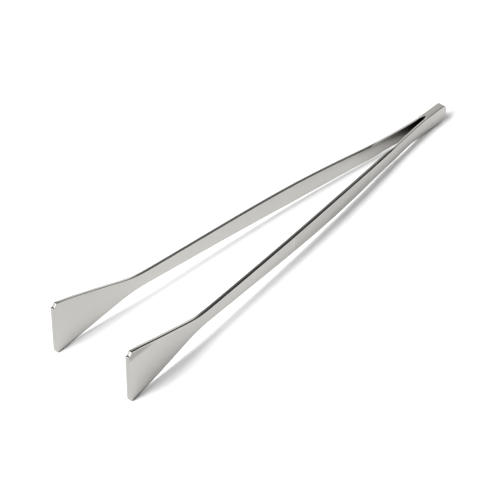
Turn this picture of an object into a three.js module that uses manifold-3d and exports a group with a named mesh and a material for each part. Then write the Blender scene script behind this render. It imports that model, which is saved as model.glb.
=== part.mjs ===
// Print tongs: two spring strips of stainless sheet, welded face to face at one end
// and flared into flat gripping blades at the other. The tongs lie on their side edges,
// with the opening between the arms facing up.
//
// Frame, in millimetres: +X from the joint end towards the blades, +Y across the opening
// towards the near arm, +Z up. The origin is under the middle of the whole, on the
// surface the tongs rest on. The far arm is the near arm mirrored through y = 0.

import * as THREE from 'three';
import { mergeVertices } from 'three/addons/utils/BufferGeometryUtils.js';
import Module from 'manifold-3d';

// ---------------------------------------------------------------- driving dimensions
const LENGTH = 212;            // joint end to the blades' front edges
const SHEET = 1.65;            // sheet thickness
const SPRING = 1.10;           // ... and where the strip is ground thinner, between tab and waist
const SPRING_FROM = 14.4;      // the thinner stretch starts here
const SPRING_TO = 33;          // ... and the full sheet is back 14 mm after this
const TAB_HALF = 1.80;         // outer face of each strip over the welded tab, from y = 0
const TAB_LENGTH = 13.4;       // welded tab, measured from the joint end
const REST_END = 14.0;         // the tab's under edge is flat, and rests, up to here
const END_R_TOP = 2.6;         // side-view rounding of the joint end, upper corner
const END_R_BOTTOM = 3.3;      // side-view rounding of the joint end, lower corner
const OUTER_ROLL = 0.68;       // rolled outer edges of the sheet
const GROUND_ROLL = 0.30;      // ... smaller where the edges are ground, up to GROUND_END
const GROUND_END = 36.3;
const VALLEY = 0.45;           // bevel of the inner edges over the tab, for the weld
const FLEX_X = 38;             // each arm bends about here: the middle of its springy waist
const GAP = 0.3;               // working gap between neighbouring solids
const SEAM_DEPTH = 0.75;       // weld seam: depth below the edge, and half its width
const SEAM_END = 13.0;         // the seam runs from here round the joint end and back
const STEP_X = 210.7;          // stepped upper corner of the blade: starts here
const STEP_DROP = 1.55;        // ... and is this much lower than the corner
const TOE_X = 210.2;           // lower blade corner is rounded from here to the front edge
const TOE_RISE = 1.9;          // ... over this height

// Stations of one arm, from the joint end: [X, outer face y, top z, bottom z].
// The waist behind the finger grip is the spring, the grip swells towards X = 110, the neck is
// narrowest at X = 165, and the blade flares in straight lines from there.
const STATIONS = [
  [0, TAB_HALF, 7.98, 0.00],
  [3.5, TAB_HALF, 7.97, 0.00],
  [7, TAB_HALF, 7.97, 0.00],
  [10, TAB_HALF, 7.96, 0.00],
  [TAB_LENGTH, 1.82, 7.92, 0.00],
  [17, 1.98, 7.89, 0.20],
  [20, 2.21, 7.88, 0.79],
  [24, 2.57, 7.87, 1.44],
  [28, 2.97, 7.87, 1.47],
  [33, 3.56, 7.92, 1.44],
  [38, 4.21, 8.06, 1.40],
  [44, 5.03, 8.33, 1.58],
  [50, 5.83, 8.69, 1.76],
  [57, 6.76, 9.17, 1.89],
  [65, 7.78, 9.73, 1.97],
  [75, 8.99, 10.34, 2.10],
  [85, 10.11, 10.84, 2.34],
  [97, 11.34, 11.25, 2.82],
  [110, 12.53, 11.58, 3.49],
  [122, 13.53, 11.84, 4.16],
  [135, 14.54, 12.11, 4.87],
  [144, 15.23, 12.30, 5.35],
  [152, 15.82, 12.49, 5.77],
  [157, 16.20, 12.61, 6.05],
  [162, 16.58, 12.75, 6.33],
  [167, 16.96, 12.96, 6.56],
  [170, 17.19, 13.19, 6.58],
  [172, 17.35, 13.46, 6.50],
  [175, 17.59, 14.14, 6.23],
  [178, 17.83, 14.99, 5.77],
  [182, 18.15, 16.21, 5.00],
  [189, 18.70, 18.37, 3.61],
  [196, 19.19, 20.49, 2.28],
  [203, 19.60, 22.62, 1.07],
  [207, 19.78, 23.72, 0.33],
  [TOE_X, 19.92, 24.33, 0.00],
  [LENGTH, 19.98, 24.65, 0.00],
];

// ---------------------------------------------------------------- outline of one arm
// Smooth curve through the stations that never overshoots them.
function curveThrough(column) {
  const x = STATIONS.map((s) => s[0]);
  const y = STATIONS.map((s) => s[column]);
  const n = x.length;
  const h = [], d = [], m = new Array(n).fill(0);
  for (let i = 0; i < n - 1; i++) {
    h.push(x[i + 1] - x[i]);
    d.push((y[i + 1] - y[i]) / h[i]);
  }
  m[0] = d[0];
  m[n - 1] = d[n - 2];
  for (let i = 1; i < n - 1; i++) {
    if (d[i - 1] * d[i] <= 0) continue;
    const a = 2 * h[i] + h[i - 1], b = h[i] + 2 * h[i - 1];
    m[i] = (a + b) / (a / d[i - 1] + b / d[i]);
  }
  return (X) => {
    let i = 0;
    while (i < n - 2 && X > x[i + 1]) i++;
    const t = (X - x[i]) / h[i];
    const t2 = t * t, t3 = t2 * t;
    return (2 * t3 - 3 * t2 + 1) * y[i] + (t3 - 2 * t2 + t) * h[i] * m[i]
      + (-2 * t3 + 3 * t2) * y[i + 1] + (t3 - t2) * h[i] * m[i + 1];
  };
}
const outerFace = curveThrough(1);
const topEdge = curveThrough(2);
const bottomEdge = curveThrough(3);

const quarter = (t) => 1 - Math.sqrt(Math.max(0, 1 - t * t));
function zTop(X) {
  const drop = X < END_R_TOP ? END_R_TOP * quarter((END_R_TOP - X) / END_R_TOP) : 0;
  return topEdge(X) - drop;
}
function zBottom(X) {
  let rise = X < END_R_BOTTOM ? END_R_BOTTOM * quarter((END_R_BOTTOM - X) / END_R_BOTTOM) : 0;
  if (X > TOE_X) rise = TOE_RISE * quarter((X - TOE_X) / (LENGTH - TOE_X));
  return bottomEdge(X) + rise;
}

// ---------------------------------------------------------------- solids
// Closed body from equal rings of points, with flat ends.
function loft(rings) {
  const k = rings[0].length, pos = [], idx = [];
  rings.forEach((ring) => ring.forEach((p) => pos.push(...p)));
  for (let i = 0; i < rings.length - 1; i++) {
    for (let j = 0; j < k; j++) {
      const a = i * k + j, b = i * k + (j + 1) % k, c = a + k, e = b + k;
      idx.push(a, b, e, a, e, c);
    }
  }
  const last = (rings.length - 1) * k;
  for (let j = 1; j < k - 1; j++) {
    idx.push(0, j + 1, j);
    idx.push(last, last + j, last + j + 1);
  }
  const g = new THREE.BufferGeometry();
  g.setAttribute('position', new THREE.Float32BufferAttribute(pos, 3));
  g.setIndex(idx);
  return outward(g);
}

// Turns every face round if the body's volume comes out negative.
function outward(g) {
  const p = g.attributes.position, i = g.index.array;
  const a = new THREE.Vector3(), b = new THREE.Vector3(), c = new THREE.Vector3();
  let v = 0;
  for (let t = 0; t < i.length; t += 3) {
    a.fromBufferAttribute(p, i[t]);
    b.fromBufferAttribute(p, i[t + 1]);
    c.fromBufferAttribute(p, i[t + 2]);
    v += a.dot(b.cross(c));
  }
  if (v < 0) {
    const flipped = Array.from(i);
    for (let t = 0; t < flipped.length; t += 3) {
      [flipped[t + 1], flipped[t + 2]] = [flipped[t + 2], flipped[t + 1]];
    }
    g.setIndex(flipped);
  }
  return g;
}

function ease(X, from, to) {
  const t = Math.min(1, Math.max(0, (X - from) / (to - from)));
  return t * t * (3 - 2 * t);
}
const thickness = (X) => SHEET + (SPRING - SHEET)
  * (ease(X, TAB_LENGTH - 0.7, SPRING_FROM) - ease(X, SPRING_TO, SPRING_TO + 14));
const outerRoll = (X) => GROUND_ROLL + (OUTER_ROLL - GROUND_ROLL) * ease(X, GROUND_END, 42);
const valley = (X) => VALLEY * (1 - ease(X, SEAM_END, TAB_LENGTH));

// Stretch of one arm between two X values: a strip section swept along the arm, with
// rolled outer edges, square inner edges, and the weld's valley over the tab.
function armStretch(from, to, side) {
  const xs = new Set([from, to]);
  for (let i = 0; i <= 10; i++) {
    const s = 1 - Math.cos((i / 10) * Math.PI / 2);
    xs.add(+(END_R_BOTTOM * s).toFixed(4));
    xs.add(+(LENGTH - (LENGTH - TOE_X) * s).toFixed(4));
  }
  for (let X = 6; X < 48; X += 2) xs.add(X);
  for (let X = 48; X < 164; X += 4) xs.add(X);
  for (let X = 164; X < 184; X += 1) xs.add(X);
  for (let X = 184; X < 210; X += 3) xs.add(X);
  xs.add(REST_END);
  xs.add(SEAM_END);
  xs.add(TAB_LENGTH);
  const list = [...xs].filter((X) => X >= from && X <= to).sort((a, b) => a - b);
  return loft(list.map((X) => {
    const yo = outerFace(X), yi = yo - thickness(X), t = zTop(X), b = zBottom(X);
    const r = outerRoll(X), c = Math.max(valley(X), 0.02);
    const x = X - LENGTH / 2;
    const ring = [];
    for (let i = 0; i <= 3; i++) {                     // lower outer edge, rolled
      const a = (i / 3) * Math.PI / 2;
      ring.push([x, (yo - r * (1 - Math.sin(a))) * side, b + r * (1 - Math.cos(a))]);
    }
    for (let i = 0; i <= 3; i++) {                     // upper outer edge, rolled
      const a = (i / 3) * Math.PI / 2;
      ring.push([x, (yo - r * (1 - Math.cos(a))) * side, t - r * (1 - Math.sin(a))]);
    }
    ring.push([x, (yi + c) * side, t], [x, yi * side, t - c]);
    ring.push([x, yi * side, b + c], [x, (yi + c) * side, b]);
    return ring;
  }));
}

// Wedge-shaped bar that follows the tab's edge: along the top, round the joint end and
// back along the bottom. grow widens it all round, proud lets it stand out of the edge.
function seamBar(grow, proud, end) {
  const path = [];
  for (let X = end; X > END_R_TOP + 0.2; X -= 1.2) path.push([X, topEdge(X)]);
  for (let i = 0; i <= 10; i++) {
    const a = (i / 10) * Math.PI / 2;
    path.push([END_R_TOP * (1 - Math.sin(a)), topEdge(0) - END_R_TOP * (1 - Math.cos(a))]);
  }
  for (let i = 0; i <= 10; i++) {
    const a = (i / 10) * Math.PI / 2;
    path.push([END_R_BOTTOM * (1 - Math.cos(a)), END_R_BOTTOM * (1 - Math.sin(a))]);
  }
  const back = [];
  for (let X = end; X > END_R_BOTTOM + 0.2; X -= 1.2) back.push([X, bottomEdge(X)]);
  path.push(...back.reverse());
  const n = path.length;
  const rings = path.map((p, i) => {
    const a = path[Math.max(0, i - 1)], b = path[Math.min(n - 1, i + 1)];
    const tx = b[0] - a[0], tz = b[1] - a[1], l = Math.hypot(tx, tz);
    let nx = -tz / l, nz = tx / l;                     // into the tab
    if (i === 0 || i === n - 1) { nx = 0; nz = i === 0 ? -1 : 1; }
    const at = (depth, y) => [p[0] + nx * depth - LENGTH / 2, y, p[1] + nz * depth];
    const wide = SEAM_DEPTH + grow + proud, deep = SEAM_DEPTH + grow;
    return [at(-proud, wide), at(-proud, -wide), at(deep, 0)];
  });
  return loft(rings);
}

const wasm = await Module();
wasm.setup();
function solid(geometry) {
  const g = geometry.clone();
  g.deleteAttribute('normal');
  g.deleteAttribute('uv');
  const m = mergeVertices(g, 1e-5);
  return new wasm.Manifold(new wasm.Mesh({
    numProp: 3,
    vertProperties: new Float32Array(m.attributes.position.array),
    triVerts: new Uint32Array(m.index.array),
  }));
}
function geometryOf(body) {
  const m = body.getMesh();
  const g = new THREE.BufferGeometry();
  g.setAttribute('position', new THREE.Float32BufferAttribute(Array.from(m.vertProperties), 3));
  g.setIndex(Array.from(m.triVerts));
  return g;
}

// Box that removes the blade's upper front corner and leaves the low step.
function stepCutter(side) {
  const zStep = topEdge(STEP_X) - STEP_DROP;
  const box = new THREE.BoxGeometry(6, 12, 6);
  box.translate(STEP_X + 3 - LENGTH / 2, side * (outerFace(STEP_X) - SHEET / 2), zStep + 3);
  return box;
}

// ---------------------------------------------------------------- the tongs
const steel = () => new THREE.MeshStandardMaterial({ color: 0xc3c2be, roughness: 0.42, metalness: 1.0 });
const weldSteel = () => new THREE.MeshStandardMaterial({ color: 0xa9a8a5, roughness: 0.5, metalness: 1.0 });

const tongs = new THREE.Group();
tongs.name = 'print_tongs';
function add(name, geometry, material) {
  const g = geometry.index ? geometry.toNonIndexed() : geometry;
  g.computeVertexNormals();
  const mesh = new THREE.Mesh(g, material);
  mesh.name = name;
  tongs.add(mesh);
}

for (const [name, side] of [['near', 1], ['far', -1]]) {
  const root = solid(armStretch(0, FLEX_X - GAP / 2, side))
    .subtract(solid(seamBar(GAP * Math.SQRT2, 0.5, SEAM_END + GAP)));
  add(`${name}_arm_root`, geometryOf(root), steel());
  const arm = solid(armStretch(FLEX_X + GAP / 2, LENGTH, side)).subtract(solid(stepCutter(side)));
  add(`${name}_arm`, geometryOf(arm), steel());
}
add('seam_weld', seamBar(0, 0, SEAM_END), weldSteel());

export default tongs;
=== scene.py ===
import math

import bpy
import numpy as np
from mathutils import Matrix, Vector
from mathutils.geometry import delaunay_2d_cdt

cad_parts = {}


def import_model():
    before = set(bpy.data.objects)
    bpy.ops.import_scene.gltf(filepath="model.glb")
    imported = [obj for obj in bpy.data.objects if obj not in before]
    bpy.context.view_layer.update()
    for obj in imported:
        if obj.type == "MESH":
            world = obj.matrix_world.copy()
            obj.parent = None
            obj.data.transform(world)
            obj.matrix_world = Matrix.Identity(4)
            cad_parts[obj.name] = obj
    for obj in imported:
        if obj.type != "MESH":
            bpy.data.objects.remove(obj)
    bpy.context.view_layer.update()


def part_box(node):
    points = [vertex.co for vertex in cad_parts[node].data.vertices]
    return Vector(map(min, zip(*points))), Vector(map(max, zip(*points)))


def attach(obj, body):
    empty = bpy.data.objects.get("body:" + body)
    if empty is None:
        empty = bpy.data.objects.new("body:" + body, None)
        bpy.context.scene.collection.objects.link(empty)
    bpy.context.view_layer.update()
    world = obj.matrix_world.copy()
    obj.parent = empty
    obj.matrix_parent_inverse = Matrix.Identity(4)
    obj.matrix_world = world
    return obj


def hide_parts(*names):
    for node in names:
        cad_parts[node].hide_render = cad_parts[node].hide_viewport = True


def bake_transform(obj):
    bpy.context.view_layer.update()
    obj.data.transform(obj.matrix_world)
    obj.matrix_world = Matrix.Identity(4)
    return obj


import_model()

# The row's frame, in metres: +X from the welded joint end to the blades, +Y across the opening
# to the near arm, +Z up. The arms' curves below are in millimetres, with X from the joint end.
MM = 0.001
TAB_LO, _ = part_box("near_arm_root")
_, BLADE_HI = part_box("near_arm")
X0 = TAB_LO[0] / MM                      # the joint end's x in millimetres
LENGTH = (BLADE_HI[0] - TAB_LO[0]) / MM - 0.05   # overall length of the outer face, a hair inside the box

SHEET = 1.60          # sheet thickness
SPRING = 1.02         # ... ground thinner between the tab and the end of the ground zone
OUTER_IN = 0.05       # the finished outer face lies this much inside the CAD's, so that the tabs meet
ROLL = 0.68           # rolled outer edges
GROUND_ROLL = 0.30    # ... nearly crisp where the edges were ground
CRISP = 0.26          # small rounding of the inner edges
GROOVE = 0.62         # bevel of the inner edges round the tab, filled by the weld
GRIP = (58.0, 112.0)  # finger grip: a matter patch on the outer faces
GROUND_END = 36.5     # the edges are belt-ground from the joint end to here

STATIONS = np.array([
    (0, 1.80, 7.98, 0.00), (3.5, 1.80, 7.97, 0.00), (7, 1.80, 7.97, 0.00), (10, 1.80, 7.96, 0.00),
    (13.4, 1.82, 7.92, 0.00), (17, 1.98, 7.89, 0.20), (20, 2.21, 7.88, 0.79), (24, 2.57, 7.87, 1.44),
    (28, 2.97, 7.87, 1.47), (33, 3.56, 7.92, 1.44), (38, 4.21, 8.06, 1.40), (44, 5.03, 8.33, 1.58),
    (50, 5.83, 8.69, 1.76), (57, 6.76, 9.17, 1.89), (65, 7.78, 9.73, 1.97), (75, 8.99, 10.34, 2.10),
    (85, 10.11, 10.84, 2.34), (97, 11.34, 11.25, 2.82), (110, 12.53, 11.58, 3.49), (122, 13.53, 11.84, 4.16),
    (135, 14.54, 12.11, 4.87), (144, 15.23, 12.30, 5.35), (152, 15.82, 12.49, 5.77), (157, 16.20, 12.61, 6.05),
    (162, 16.58, 12.75, 6.33), (167, 16.96, 12.96, 6.56), (170, 17.19, 13.19, 6.58), (172, 17.35, 13.46, 6.50),
    (175, 17.59, 14.14, 6.23), (178, 17.83, 14.99, 5.77), (182, 18.15, 16.21, 5.00), (189, 18.70, 18.37, 3.61),
    (196, 19.19, 20.49, 2.28), (203, 19.60, 22.62, 1.07), (207, 19.78, 23.72, 0.33), (210.2, 19.92, 24.33, -0.26),
    (216, 20.08, 25.50, -1.30),
])
END_R_TOP, END_R_BOTTOM = 2.6, 3.3
STEP_X, STEP_DROP = 210.25, 1.55
TOE_X, TOE_RISE = 210.2, 1.9


# ------------------------------------------------------------------ curves of one arm
def _smooth_table(column, sigma):
    """The column through the stations on a 0.25 mm grid, evened out so that reflections run without bands."""
    x, y = STATIONS[:, 0], STATIONS[:, column]
    h = np.diff(x)
    d = np.diff(y) / h
    m = np.zeros(len(x))
    m[0], m[-1] = d[0], d[-1]
    for i in range(1, len(x) - 1):
        if d[i - 1] * d[i] > 0:
            a, b = 2 * h[i] + h[i - 1], h[i] + 2 * h[i - 1]
            m[i] = (a + b) / (a / d[i - 1] + b / d[i])
    g = np.arange(-20.0, 236.01, 0.25)
    i = np.clip(np.searchsorted(x, g) - 1, 0, len(x) - 2)
    t = (g - x[i]) / h[i]
    inside = ((2 * t**3 - 3 * t**2 + 1) * y[i] + (t**3 - 2 * t**2 + t) * h[i] * m[i]
              + (-2 * t**3 + 3 * t**2) * y[i + 1] + (t**3 - t**2) * h[i] * m[i + 1])
    out = np.where(g < x[0], y[0] + (g - x[0]) * m[0], np.where(g > x[-1], y[-1] + (g - x[-1]) * m[-1], inside))
    if sigma:
        k = np.arange(-int(4 * sigma / 0.25), int(4 * sigma / 0.25) + 1) * 0.25
        w = np.exp(-0.5 * (k / sigma) ** 2)
        w /= w.sum()
        pad = len(k) // 2
        ext = np.concatenate([
            out[0] - (np.arange(pad, 0, -1)) * (out[1] - out[0]),
            out,
            out[-1] + (np.arange(1, pad + 1)) * (out[-1] - out[-2]),
        ])
        out = np.convolve(ext, w, mode="valid")
    return g, out


_G, _Y = _smooth_table(1, 3.0)
_, _ZT = _smooth_table(2, 1.6)
_, _ZB = _smooth_table(3, 1.6)
_DY = np.gradient(_Y, _G)


def y_outer(X):
    return np.interp(X, _G, _Y) - OUTER_IN


def slope(X):
    return np.interp(X, _G, _DY)


def z_top(X):
    return np.interp(X, _G, _ZT)


def z_bottom(X):
    return np.maximum(np.interp(X, _G, _ZB), 0.0)


def ramp(X, lo, hi):
    t = np.clip((np.asarray(X, float) - lo) / (hi - lo), 0, 1)
    return t * t * (3 - 2 * t)


def thickness(X):
    return SHEET + (SPRING - SHEET) * (ramp(X, 12.7, 14.4) - ramp(X, 33.0, 47.0))


def roll(X):
    # smaller where the edges are ground, and again round the stepped corner
    return GROUND_ROLL + (ROLL - GROUND_ROLL) * ramp(X, 36.3, 42.0) - (ROLL - 0.40) * ramp(X, 208.2, 210.0)


def bevel(X):
    return CRISP + (GROOVE - CRISP) * (1 - ramp(X, 12.9, 13.25))


def place(X, Z, depth, side):
    """A point of the flat blank, depth below its outer face, bent to the arm's plan curve. Metres."""
    X, Z, depth = (np.asarray(a, float) for a in (X, Z, depth))
    s = slope(X)
    l = np.sqrt(1 + s * s)
    x = X + s * depth / l
    y = y_outer(X) - depth / l
    return np.stack([(x + X0) * MM, side * y * MM, Z * MM + 0 * x], -1)


# ------------------------------------------------------------------ outlines in the blank's plane
def fillet(points, radii, step=0.12):
    """A closed polyline with each flagged corner rounded to its radius."""
    n, out = len(points), []
    for i in range(n):
        p = np.array(points[i], float)
        r = radii[i]
        if not r:
            out.append(p)
            continue
        a = np.array(points[i - 1], float) - p
        b = np.array(points[(i + 1) % n], float) - p
        la, lb = np.linalg.norm(a), np.linalg.norm(b)
        a, b = a / la, b / lb
        ang = math.acos(max(-1, min(1, float(a @ b))))
        t = min(r / math.tan(ang / 2), 0.95 * la, 0.95 * lb)
        r = t * math.tan(ang / 2)
        c = p + (a + b) / np.linalg.norm(a + b) * (r / math.sin(ang / 2))
        s, e = p + a * t - c, p + b * t - c
        sweep = math.pi - ang
        k = max(3, int(math.ceil(r * sweep / step)))
        cross = s[0] * e[1] - s[1] * e[0]
        for j in range(k + 1):
            th = sweep * j / k * (1 if cross > 0 else -1)
            out.append(c + np.array([s[0] * math.cos(th) - s[1] * math.sin(th), s[0] * math.sin(th) + s[1] * math.cos(th)]))
    return np.array(out)


def arc_points(cx, cz, rx, rz, a0, a1, k):
    a = np.radians(np.linspace(a0, a1, k))
    return [(cx + rx * math.cos(t), cz + rz * math.sin(t)) for t in a]


def arm_outline():
    """The blank's outline, counter-clockwise in X, Z."""
    pts, rad = [], []

    def add(seq, r=0):
        for p in seq:
            pts.append((float(p[0]), float(p[1])))
            rad.append(r)

    xs = np.arange(END_R_BOTTOM + 0.7, 206.0, 0.7)
    add([(X, z_bottom(X)) for X in xs])
    add([(X, z_bottom(X)) for X in np.arange(xs[-1] + 0.5, TOE_X - 0.8, 0.4)])
    # rounded toe, then up the front edge to the step
    add([(TOE_X - 0.35, z_bottom(TOE_X - 0.35))])
    add(arc_points(TOE_X, TOE_RISE, LENGTH - TOE_X, TOE_RISE, -88, -2, 14))
    z_step = float(z_top(STEP_X)) - STEP_DROP
    add([(LENGTH, z) for z in np.arange(TOE_RISE + 0.7, z_step - 0.9, 0.7)])
    add([(LENGTH, z_step - 0.6)])
    add([(LENGTH, z_step)], 0.32)
    add([(STEP_X + 0.85, z_step)], 0.22)
    add([(STEP_X, float(z_top(STEP_X)))], 0.7)
    # back along the top
    xs = np.arange(STEP_X - 1.9, END_R_TOP + 0.3, -0.7)
    add([(X, z_top(X)) for X in xs])
    # rounded joint end
    add(arc_points(END_R_TOP, float(z_top(0)) - END_R_TOP, END_R_TOP, END_R_TOP, 90, 178, 16))
    add(arc_points(END_R_BOTTOM, END_R_BOTTOM, END_R_BOTTOM, END_R_BOTTOM, 182, 270, 18))
    return fillet(pts, rad)


def normals_out(loop):
    """Outward normals of a counter-clockwise loop."""
    d = np.roll(loop, -1, 0) - np.roll(loop, 1, 0)
    d /= np.linalg.norm(d, axis=1)[:, None]
    return np.stack([d[:, 1], -d[:, 0]], 1)


def inset_limit(loop, share=0.66):
    """How far each point of the loop may move in before a tight corner near it folds over."""
    a, b = loop - np.roll(loop, 1, 0), np.roll(loop, -1, 0) - loop
    la, lb = np.linalg.norm(a, axis=1), np.linalg.norm(b, axis=1)
    turn = np.arctan2(a[:, 0] * b[:, 1] - a[:, 1] * b[:, 0], (a * b).sum(1))
    r = np.where(turn > 0.02, 0.5 * (la + lb) / np.maximum(turn, 1e-6), 1e3)
    out = np.full(len(loop), 1e3)
    for k in np.nonzero(r < 3.0)[0]:
        d = np.linalg.norm(loop - loop[k], axis=1)
        out = np.minimum(out, share * (r[k] + 0.9 * d))
    return out


def fill(loop, spacing):
    """Triangles that fill a closed loop, with inner points on a grid so that the sheet can bend. Returns points, triangles."""
    n = len(loop)
    lo, hi = loop.min(0), loop.max(0)
    seg = np.roll(loop, -1, 0)
    inner = []
    for X in np.arange(lo[0] + spacing, hi[0], spacing):
        hits = []
        cross = ((loop[:, 0] <= X) & (seg[:, 0] > X)) | ((seg[:, 0] <= X) & (loop[:, 0] > X))
        for k in np.nonzero(cross)[0]:
            t = (X - loop[k, 0]) / (seg[k, 0] - loop[k, 0])
            hits.append(loop[k, 1] + t * (seg[k, 1] - loop[k, 1]))
        hits.sort()
        for a, b in zip(hits[::2], hits[1::2]):
            m = max(1, int(round((b - a) / (spacing * 1.1))))
            for j in range(1, m):
                inner.append((X, a + (b - a) * j / m))
    pts = [Vector((p[0], p[1])) for p in loop] + [Vector(p) for p in inner]
    edges = [(k, (k + 1) % n) for k in range(n)]
    v, _, f, ov, _, _ = delaunay_2d_cdt(pts, edges, [], 0, 1e-7, True)
    back = {}
    for k, ids in enumerate(ov):
        for i in ids:
            back.setdefault(i, k)
    # the loop's own vertices keep their numbers; the rest follow
    order, new = {}, []
    for i in range(n):
        order[back[i]] = i
    for k in range(len(v)):
        if k not in order:
            order[k] = n + len(new)
            new.append((v[k].x, v[k].y))
    new = np.array(new).reshape(-1, 2)
    both = np.vstack([loop, new])
    tris = []
    for face in f:
        a = [order[k] for k in face]
        c = both[a].mean(0)
        hit = ((loop[:, 1] > c[1]) != (seg[:, 1] > c[1])) & (
            c[0] < (seg[:, 0] - loop[:, 0]) * (c[1] - loop[:, 1]) / np.where(seg[:, 1] == loop[:, 1], 1e-12, seg[:, 1] - loop[:, 1]) + loop[:, 0])
        if hit.sum() % 2:
            tris.append(tuple(a))
    return new, tris


def build_mesh(name, verts, faces, attributes, creases=()):
    """A smooth-shaded mesh. creases: ranges of vertex numbers, each a closed ring whose edges stay sharp."""
    me = bpy.data.meshes.new(name)
    me.from_pydata([tuple(v) for v in verts], [], faces)
    for p in me.polygons:
        p.use_smooth = True
    if creases:
        sharp = me.attributes.new("sharp_edge", "BOOLEAN", "EDGE")
        pairs = np.empty(len(me.edges) * 2, np.int64)
        me.edges.foreach_get("vertices", pairs)
        pairs = pairs.reshape(-1, 2)
        flag = np.zeros(len(pairs), bool)
        for lo, hi in creases:
            inside = ((pairs >= lo) & (pairs < hi)).all(1)
            gap = np.abs(pairs[:, 0] - pairs[:, 1])
            flag |= inside & ((gap == 1) | (gap == hi - lo - 1))
        sharp.data.foreach_set("value", flag)
    for key, values in attributes.items():
        kind = "FLOAT_VECTOR" if np.ndim(values[0]) else "FLOAT"
        at = me.attributes.new(key, kind, "POINT")
        if kind == "FLOAT":
            at.data.foreach_set("value", np.asarray(values, np.float32))
        else:
            at.data.foreach_set("vector", np.asarray(values, np.float32).ravel())
    me.update()
    ob = bpy.data.objects.new(name, me)
    bpy.context.scene.collection.objects.link(ob)
    return ob


def arm_strip(name, side):
    loop = arm_outline()
    nrm = normals_out(loop)
    n = len(loop)
    limit = inset_limit(loop)
    r, c, t = roll(loop[:, 0]), bevel(loop[:, 0]), thickness(loop[:, 0])
    r_in, c_in = np.minimum(r, limit), np.minimum(c, limit)
    # rings from the outer face, round the rolled outer edge, across the flat of the edge and over the
    # inner corner: (inset from the outline, depth below the outer face, edge, outer and inner weights)
    prof = []
    for a in np.radians([0, 3, 10, 20, 30, 40, 50, 60, 70, 80, 87, 90]):
        k = float(a / (math.pi / 2))
        prof.append((r_in * (1 - math.sin(a)), r * (1 - math.cos(a)), min(1.0, 3 * k), 1.0 if k == 0 else 0.0, 0.0))
    prof.append((0 * c, t - c - 0.04, 1.0, 0.0, 0.0))
    w = ramp(loop[:, 0], 12.9, 13.25)         # straight bevel under the weld, rounded elsewhere
    for k in (0.0, 0.22, 0.45, 0.68, 0.9, 1.0):
        b = k * math.pi / 2
        across = (1 - w) * k + w * (1 - math.cos(b))
        down = (1 - w) * k + w * math.sin(b)
        prof.append((c_in * across, t - c + c * down, 0.0 if k == 1.0 else 1.0, 0.0, 1.0 if k > 0.5 else 0.0))
    P, D, E, O, I = [], [], [], [], []
    for inset, depth, edge, outer, inner in prof:
        P.append(loop - nrm * inset[:, None])
        D.append(depth)
        E.append(np.full(n, edge))
        O.append(np.full(n, outer))
        I.append(np.full(n, inner))
    faces = []
    for k in range(len(prof) - 1):
        for i in range(n):
            j = (i + 1) % n
            faces.append((k * n + i, k * n + j, (k + 1) * n + j, (k + 1) * n + i))
    rings = len(prof)
    new_o, tri_o = fill(P[0], 1.3)
    new_i, tri_i = fill(P[-1], 1.3)
    base_o = rings * n
    base_i = base_o + len(new_o)

    def num(tri, ring, base):
        return tuple(ring * n + a if a < n else base + a - n for a in tri)

    # counter-clockwise in X, Z looks along +Y, so the outer face at +Y is turned round
    faces += [tuple(reversed(num(f, 0, base_o))) for f in tri_o]
    faces += [num(f, rings - 1, base_i) for f in tri_i]
    flat = np.vstack(P + [new_o, new_i])
    depth = np.concatenate(D + [np.zeros(len(new_o)), thickness(new_i[:, 0])])
    edge = np.concatenate(E + [np.zeros(len(new_o) + len(new_i))])
    outer = np.concatenate(O + [np.ones(len(new_o)), np.zeros(len(new_i))])
    inner = np.concatenate(I + [np.zeros(len(new_o)), np.ones(len(new_i))])
    verts = place(flat[:, 0], flat[:, 1], depth, side)
    if side < 0:
        faces = [tuple(reversed(f)) for f in faces]
    strip = np.stack([flat[:, 0] * MM, flat[:, 1] * MM, depth * MM], 1)
    return build_mesh(name, verts, faces, {"strip": strip, "edge": edge, "outer": outer, "inner": inner},
                      creases=[(0, n), ((rings - 1) * n, rings * n)])


def weld_seam(name):
    """The weld run round the tab: it fills the valley between the two rolled inner edges, ground flush."""
    end = 13.0
    path = [(X, float(z_top(X))) for X in np.arange(end, END_R_TOP + 0.2, -0.5)]
    path += arc_points(END_R_TOP, float(z_top(0)) - END_R_TOP, END_R_TOP, END_R_TOP, 90, 178, 16)
    path += arc_points(END_R_BOTTOM, END_R_BOTTOM, END_R_BOTTOM, END_R_BOTTOM, 182, 270, 18)
    path += [(X, float(z_bottom(X))) for X in np.arange(END_R_BOTTOM + 0.5, end + 0.01, 0.5)]
    path = np.array(path)
    d = np.gradient(path, axis=0)
    d /= np.linalg.norm(d, axis=1)[:, None]
    out = np.stack([d[:, 1], -d[:, 0]], 1)
    out *= np.where(((path - np.array([7.0, 3.6])) * out).sum(1) < 0, -1, 1)[:, None]
    half = y_outer(5.0) - SHEET + GROOVE      # the valley's half width at the edge, and its depth
    # section: (across, inset); the top is very slightly hollow, the flanks follow the bevels
    sec = [(u * (half - 0.02), 0.010 + 0.014 * (1 - u * u)) for u in np.linspace(-1, 1, 11)]
    sec += [(u * (half - 0.02), 0.010 + (1 - abs(u)) * (half - 0.035)) for u in (0.75, 0.5, 0.25, 0.0, -0.25, -0.5, -0.75)]
    m, verts, strip, faces = len(sec), [], [], []
    for p, o in zip(path, out):
        for across, inset in sec:
            q = p - o * inset
            verts.append(((q[0] + X0) * MM, across * MM, q[1] * MM))
            strip.append((q[0] * MM, q[1] * MM, across * MM))
    for i in range(len(path) - 1):
        for j in range(m):
            a, b = i * m + j, i * m + (j + 1) % m
            faces.append((a, b, b + m, a + m))
    faces.append(tuple(reversed(range(m))))
    faces.append(tuple((len(path) - 1) * m + j for j in range(m)))
    # the end cap facing into the fork is marked inner, so it takes the painted fork shade
    ob = build_mesh(name, verts, faces, {"strip": strip, "edge": [1.0] * len(verts), "outer": [0.0] * len(verts),
                                            "inner": [1.0 if p[0] > (end - 0.01) * MM else 0.0 for p in strip]})
    return ob


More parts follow.
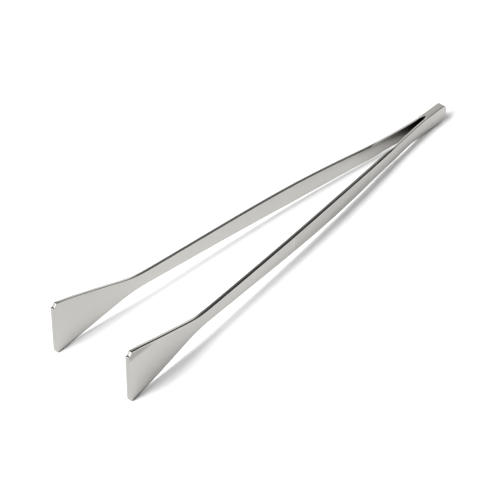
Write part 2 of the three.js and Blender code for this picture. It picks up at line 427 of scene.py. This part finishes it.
# ------------------------------------------------------------------ materials
def node(nt, kind, **values):
    nd = nt.nodes.new(kind)
    for key, v in values.items():
        if key in nd.inputs.keys():
            nd.inputs[key].default_value = v
        else:
            setattr(nd, key, v)
    return nd


def steel_material(name, colour, rough, brush=1.0, grip=True):
    """Satin stainless: fine brushing along the strip, smooth edges that are belt-ground round the joint,
    and a matter finger grip."""
    mat = bpy.data.materials.new(name)
    mat.use_nodes = True
    nt = mat.node_tree
    nt.nodes.clear()
    link = nt.links.new
    out = node(nt, "ShaderNodeOutputMaterial")
    bsdf = node(nt, "ShaderNodeBsdfPrincipled")
    bsdf.inputs["Metallic"].default_value = 1.0
    link(bsdf.outputs[0], out.inputs[0])
    strip = node(nt, "ShaderNodeAttribute", attribute_name="strip")
    edge = node(nt, "ShaderNodeAttribute", attribute_name="edge")
    outer = node(nt, "ShaderNodeAttribute", attribute_name="outer")
    inner = node(nt, "ShaderNodeAttribute", attribute_name="inner")

    def mapped(scale, rot=0.0):
        mp = node(nt, "ShaderNodeMapping")
        mp.inputs["Scale"].default_value = scale
        mp.inputs["Rotation"].default_value = (0, rot, 0)
        link(strip.outputs["Vector"], mp.inputs["Vector"])
        return mp.outputs[0]

    def noise(vec, scale=1.0, detail=3.0, rough_=0.55):
        n = node(nt, "ShaderNodeTexNoise")
        n.inputs["Scale"].default_value = scale
        n.inputs["Detail"].default_value = detail
        n.inputs["Roughness"].default_value = rough_
        link(vec, n.inputs["Vector"])
        return n.outputs["Fac"]

    def remap(v, a, b, c, d):
        r = node(nt, "ShaderNodeMapRange")
        for key, val in zip(("From Min", "From Max", "To Min", "To Max"), (a, b, c, d)):
            r.inputs[key].default_value = val
        link(v, r.inputs["Value"])
        return r.outputs[0]

    def math_(op, a, b, clamp=False):
        m = node(nt, "ShaderNodeMath", operation=op)
        m.use_clamp = clamp
        for s, v in zip(m.inputs, (a, b)):
            if isinstance(v, (int, float)):
                s.default_value = v
            else:
                link(v, s)
        return m.outputs[0]

    # fine lines along the strip, in two lengths, and slow cloudiness of the finish
    fine = noise(mapped((350, 14000, 14000)), detail=4.0, rough_=0.6)
    lines = noise(mapped((90, 5200, 5200)), detail=2.0)
    cloud = noise(mapped((55, 180, 180)), detail=3.0)
    grain = math_("ADD", math_("MULTIPLY", fine, 0.55), math_("MULTIPLY", lines, 0.45))

    # grip patch, by distance along the strip, on the outer face only
    sep = node(nt, "ShaderNodeSeparateXYZ")
    link(strip.outputs["Vector"], sep.inputs[0])
    if grip:
        a = remap(sep.outputs[0], (GRIP[0] - 0.15) * MM, (GRIP[0] + 0.15) * MM, 0, 1)
        b = remap(sep.outputs[0], (GRIP[1] - 0.08) * MM, (GRIP[1] + 0.08) * MM, 1, 0)
        patch = math_("MULTIPLY", math_("MULTIPLY", a, b), outer.outputs["Fac"])
    else:
        patch = None

    # belt-ground edges round the joint: the grinding runs out in a long point on the flat of the edge
    run_out = math_("ADD", sep.outputs[0], math_("MULTIPLY", sep.outputs[2], -5.0))
    ground = remap(run_out, (GROUND_END - 0.6) * MM, (GROUND_END + 0.6) * MM, 1, 0)
    ground = math_("MULTIPLY", ground, remap(sep.outputs[2], 0.22 * MM, 0.28 * MM, 0, 1)) if grip else edge.outputs["Fac"]
    ground = math_("MULTIPLY", ground, edge.outputs["Fac"])

    # masks for painted shade on the front end faces and the blades, applied below
    front_shade = math_("MULTIPLY", remap(sep.outputs[0], (LENGTH - 0.5) * MM, (LENGTH - 0.1) * MM, 0, 1), edge.outputs["Fac"])
    blade_shade = remap(sep.outputs[0], 160 * MM, 180 * MM, 0, 1)

    # narrow lighter bands across the outer face, just past the grip's end and at 37 mm, and painted shade on the
    # blade's upper front corner
    if grip:
        pale_band = math_("MULTIPLY", remap(sep.outputs[0], (GRIP[1] + 0.05) * MM, (GRIP[1] + 0.20) * MM, 0, 1),
                    remap(sep.outputs[0], (GRIP[1] + 0.45) * MM, (GRIP[1] + 0.65) * MM, 1, 0))
        back_pale_band = math_("MULTIPLY", remap(sep.outputs[0], 37.0 * MM, 37.2 * MM, 0, 1), remap(sep.outputs[0], 37.5 * MM, 37.8 * MM, 1, 0))
        pale_band = math_("MULTIPLY", math_("MAXIMUM", pale_band, math_("MULTIPLY", back_pale_band, 0.6)), outer.outputs["Fac"])
        # painted shade: darkens the upper front corner of the blade's outer face
        corner_shade = math_("MULTIPLY", remap(sep.outputs[0], 195 * MM, 200 * MM, 0, 1), remap(sep.outputs[1], 19.7 * MM, 21.3 * MM, 0, 1))
        corner_shade = math_("MULTIPLY", corner_shade, outer.outputs["Fac"])
        # painted shade: a dark line along the blade's lower rim, near where it stands on the floor
        low = math_("ADD", sep.outputs[1], math_("MULTIPLY", sep.outputs[0], 0.175))     # level along the rim
        rim_shade = math_("MULTIPLY", remap(low, 37.50 * MM, 37.75 * MM, 1, 0), remap(sep.outputs[2], 0.75 * MM, 0.95 * MM, 1, 0))
        # painted shade along the same rim on the inner side
        back = math_("MULTIPLY", remap(low, 37.15 * MM, 37.38 * MM, 1, 0), remap(sep.outputs[2], 1.15 * MM, 1.30 * MM, 0, 1))
        rim_shade = math_("MULTIPLY", math_("MAXIMUM", rim_shade, back), remap(sep.outputs[0], 190 * MM, 203 * MM, 0, 1))
        rim_shade = math_("MULTIPLY", rim_shade, remap(sep.outputs[0], (LENGTH - 1.6) * MM, (LENGTH - 0.9) * MM, 1, 0))

        # ... and painted shade, a fainter dark line along the tab's under edge where it rests on the floor
        under_shade = math_("MULTIPLY", remap(sep.outputs[1], 0.55 * MM, 0.80 * MM, 1, 0), remap(sep.outputs[0], 4 * MM, 6 * MM, 0, 1))
        under_shade = math_("MULTIPLY", under_shade, remap(sep.outputs[0], 14 * MM, 19 * MM, 1, 0))
        under_shade = math_("MULTIPLY", under_shade, remap(sep.outputs[2], 0.75 * MM, 0.95 * MM, 1, 0))
        rim_shade = math_("MAXIMUM", rim_shade, math_("MULTIPLY", under_shade, 0.8))

    # painted shade: near-black inner faces towards the joint, deep in the fork between the arms, joined by the dark
    # rim lines
    fork_and_rim_shade = remap(sep.outputs[0], 16 * MM, 58 * MM, 1, 0)
    fork_and_rim_shade = math_("MULTIPLY", math_("POWER", fork_and_rim_shade, 1.6), inner.outputs["Fac"])
    if grip:
        fork_and_rim_shade = math_("MAXIMUM", fork_and_rim_shade, math_("MULTIPLY", rim_shade, 0.85))

    # colour
    ramp = node(nt, "ShaderNodeMix", data_type="RGBA")
    c0 = tuple(c * 0.955 for c in colour) + (1,)
    c1 = tuple(min(1.0, c * 1.03) for c in colour) + (1,)
    ramp.inputs[6].default_value = c0
    ramp.inputs[7].default_value = c1
    link(math_("ADD", math_("MULTIPLY", grain, 0.6), math_("MULTIPLY", cloud, 0.4)), ramp.inputs[0])
    col = ramp.outputs[2]
    if patch is not None:
        dark = node(nt, "ShaderNodeMix", data_type="RGBA")
        dark.blend_type = "MULTIPLY"
        dark.inputs[7].default_value = (0.965, 0.96, 0.958, 1)
        link(patch, dark.inputs[0])
        link(col, dark.inputs[6])
        lit = node(nt, "ShaderNodeMix", data_type="RGBA")
        lit.inputs[7].default_value = tuple(min(1.0, 1.22 * c) for c in colour) + (1,)
        link(pale_band, lit.inputs[0])
        link(dark.outputs[2], lit.inputs[6])
        # painted shade on the blade's upper front corner
        corner_shade_mix = node(nt, "ShaderNodeMix", data_type="RGBA")
        corner_shade_mix.inputs[7].default_value = tuple(0.62 * c for c in colour) + (1,)
        link(corner_shade, corner_shade_mix.inputs[0])
        link(lit.outputs[2], corner_shade_mix.inputs[6])
        col = corner_shade_mix.outputs[2]
    pale = node(nt, "ShaderNodeMix", data_type="RGBA")
    tab = node(nt, "ShaderNodeMix", data_type="RGBA")
    tab.inputs[6].default_value = tuple(1.0 * c for c in colour) + (1,)
    tab.inputs[7].default_value = tuple(1.22 * c for c in colour) + (1,)
    link(remap(sep.outputs[0], 12.0 * MM, 14.5 * MM, 0, 1), tab.inputs[0])
    link(ground, pale.inputs[0])
    link(col, pale.inputs[6])
    link(tab.outputs[2], pale.inputs[7])
    # painted shade: the front end faces and, more faintly, the blades are multiplied darker
    shade = node(nt, "ShaderNodeMix", data_type="RGBA")
    shade.blend_type = "MULTIPLY"
    shade.inputs[7].default_value = (0.74, 0.74, 0.74, 1)
    link(math_("ADD", math_("MULTIPLY", front_shade, 0.6), math_("MULTIPLY", blade_shade, 0.12), clamp=True), shade.inputs[0])
    # painted shade: the colour goes towards near black by the fork and rim shade mask
    shade_black = node(nt, "ShaderNodeMix", data_type="RGBA")
    shade_black.inputs[7].default_value = (0.030, 0.028, 0.026, 1)
    link(fork_and_rim_shade, shade_black.inputs[0])
    link(pale.outputs[2], shade.inputs[6])
    link(shade.outputs[2], shade_black.inputs[6])
    col = shade_black.outputs[2]
    link(col, bsdf.inputs["Base Color"])

    # roughness: brushed faces, smoother worn edges
    r = remap(grain, 0.3, 0.7, rough - 0.045, rough + 0.045)
    r = math_("ADD", r, math_("MULTIPLY", math_("SUBTRACT", cloud, 0.5), 0.06))
    r = math_("SUBTRACT", r, math_("MULTIPLY", edge.outputs["Fac"], 0.11))
    r = math_("ADD", r, math_("MULTIPLY", ground, 0.62))
    if patch is not None:
        r = math_("ADD", r, math_("MULTIPLY", patch, 0.05))
    link(r, bsdf.inputs["Roughness"])

    # relief of the brushing
    bump = node(nt, "ShaderNodeBump")
    bump.inputs["Strength"].default_value = 0.10 * brush
    bump.inputs["Distance"].default_value = 0.00004
    link(grain, bump.inputs["Height"])
    link(bump.outputs[0], bsdf.inputs["Normal"])
    return mat


STEEL = steel_material("satin_stainless", (0.470, 0.460, 0.441), 0.32)
WELD = steel_material("ground_weld", (0.470, 0.460, 0.441), 0.32, brush=1.3, grip=False)

# ------------------------------------------------------------------ pieces
near = arm_strip("near_arm_strip", 1)
far = arm_strip("far_arm_strip", -1)
for ob in (near, far):
    ob.data.materials.append(STEEL)
seam = weld_seam("ground_seam")
seam.data.materials.append(WELD)

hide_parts("near_arm_root", "near_arm")
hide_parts("far_arm_root", "far_arm")
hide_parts("seam_weld")
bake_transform(near)
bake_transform(far)
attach(seam, "joint_tab")

# ------------------------------------------------------------------ studio
def floor():
    me = bpy.data.meshes.new("studio_floor")
    s = 6.0
    me.from_pydata([(-s, -s, 0), (s, -s, 0), (s, s, 0), (-s, s, 0)], [], [(0, 1, 2, 3)])
    ob = bpy.data.objects.new("studio_floor", me)
    bpy.context.scene.collection.objects.link(ob)
    mat = bpy.data.materials.new("studio_paper")
    mat.use_nodes = True
    nt = mat.node_tree
    b = nt.nodes["Principled BSDF"]
    b.inputs["Base Color"].default_value = (0.90, 0.90, 0.90, 1)
    b.inputs["Roughness"].default_value = 0.9
    b.inputs["Specular IOR Level"].default_value = 0.0
    me.materials.append(mat)
    return ob


floor()


def world():
    """White walls, a dim ceiling, and a dark open side behind the object that its top edges mirror."""
    w = bpy.data.worlds.new("studio")
    bpy.context.scene.world = w
    w.use_nodes = True
    nt = w.node_tree
    nt.nodes.clear()
    link = nt.links.new

    def m_(op, a, b=0.0, c=0.0):
        m = node(nt, "ShaderNodeMath", operation=op)
        for sock, v in zip(m.inputs, (a, b, c)):
            if isinstance(v, (int, float)):
                sock.default_value = v
            else:
                link(v, sock)
        return m.outputs[0]

    def step_(v, lo, hi):
        r = node(nt, "ShaderNodeMapRange")
        for key, val in zip(("From Min", "From Max", "To Min", "To Max"), (lo, hi, 0.0, 1.0)):
            r.inputs[key].default_value = val
        link(v, r.inputs["Value"])
        return r.outputs[0]

    tc = node(nt, "ShaderNodeTexCoord")
    sep = node(nt, "ShaderNodeSeparateXYZ")
    link(tc.outputs["Generated"], sep.inputs[0])
    x, y, z = sep.outputs
    flat = m_("MAXIMUM", m_("SQRT", m_("ADD", m_("MULTIPLY", x, x), m_("MULTIPLY", y, y))), 1e-4)

    def sector(az, half):
        c, s_ = math.cos(math.radians(az)), math.sin(math.radians(az))
        q = m_("DIVIDE", m_("ADD", m_("MULTIPLY", x, c), m_("MULTIPLY", y, s_)), flat)
        return step_(q, math.cos(math.radians(half + 5)), math.cos(math.radians(half - 5)))

    def height(lo, hi):
        return step_(z, math.sin(math.radians(lo)), math.sin(math.radians(hi)))

    def mix(a, b, f):
        return m_("MULTIPLY_ADD", f, m_("SUBTRACT", b, a), a)

    back = sector(*BACK)
    level = mix(WALL, CEILING, height(52, 60))
    level = mix(level, DIM, m_("MULTIPLY", back, height(*DIM_FROM)))
    level = mix(level, DARK, m_("MULTIPLY", back, height(*DARK_FROM)))
    level = mix(level, DARK, m_("MULTIPLY", sector(*FLAG), height(*FLAG_FROM)))
    bg = node(nt, "ShaderNodeBackground")
    bg.inputs[0].default_value = (1, 1, 1, 1)
    link(level, bg.inputs[1])
    out = node(nt, "ShaderNodeOutputWorld")
    link(bg.outputs[0], out.inputs[0])


WALL, CEILING, DIM, DARK = 1.36, 0.06, 0.28, 0.02
BACK, DIM_FROM, DARK_FROM = (-160.0, 65.0), (24, 30), (41, 47)   # azimuth and half-width, elevations
FLAG, FLAG_FROM = (153.0, 47.0), (2, 6)
world()


def softbox(name, toward, distance, half, energy, turn=0.0):
    """A long oval softbox that faces the object: toward is its direction, half its half-axes for a distance of 1."""
    d = Vector(toward).normalized()
    e1 = (Vector((1, 0, 0)) - d * d.x).normalized()
    e2 = d.cross(e1)
    f1 = e1 * math.cos(turn) + e2 * math.sin(turn)
    f2 = d.cross(f1)
    lamp = bpy.data.lights.new(name, "AREA")
    lamp.shape = "ELLIPSE"
    lamp.size, lamp.size_y = 2 * half[0] * distance, 2 * half[1] * distance
    lamp.energy = energy
    ob = bpy.data.objects.new(name, lamp)
    bpy.context.scene.collection.objects.link(ob)
    mw = Matrix((f1, f2, d)).transposed().to_4x4()
    mw.translation = d * distance
    ob.matrix_world = mw
    return ob


KEY = 107.0
softbox("key_softbox", (1.15, -0.195, 1.0), 2.5, (0.65, 0.16), KEY, turn=0.02)

# ------------------------------------------------------------------ camera
AZ, EL, TURN = math.radians(131.0933), math.radians(41.0956), math.radians(0.6378)
DIST = 0.80374
TARGET = Vector(((119.471 + X0) * MM, -3.897 * MM, 0.0))
back = Vector((math.sin(AZ) * math.cos(EL), -math.cos(AZ) * math.cos(EL), math.sin(EL)))
right = (-back).cross(Vector((0, 0, 1))).normalized()
up = right.cross(-back)
r2 = right * math.cos(TURN) + up * math.sin(TURN)
u2 = up * math.cos(TURN) - right * math.sin(TURN)
cam = bpy.data.cameras.new("camera")
cam.sensor_width = 36.0
cam.lens = 2036.93 * 36.0 / 500.0
cam.clip_start, cam.clip_end = 0.05, 50.0
cam_ob = bpy.data.objects.new("camera", cam)
bpy.context.scene.collection.objects.link(cam_ob)
m = Matrix((r2, u2, back)).transposed().to_4x4()
m.translation = TARGET + back * DIST
cam_ob.matrix_world = m
bpy.context.scene.camera = cam_ob

sc = bpy.context.scene
sc.view_settings.view_transform = "Standard"
sc.view_settings.look = "None"
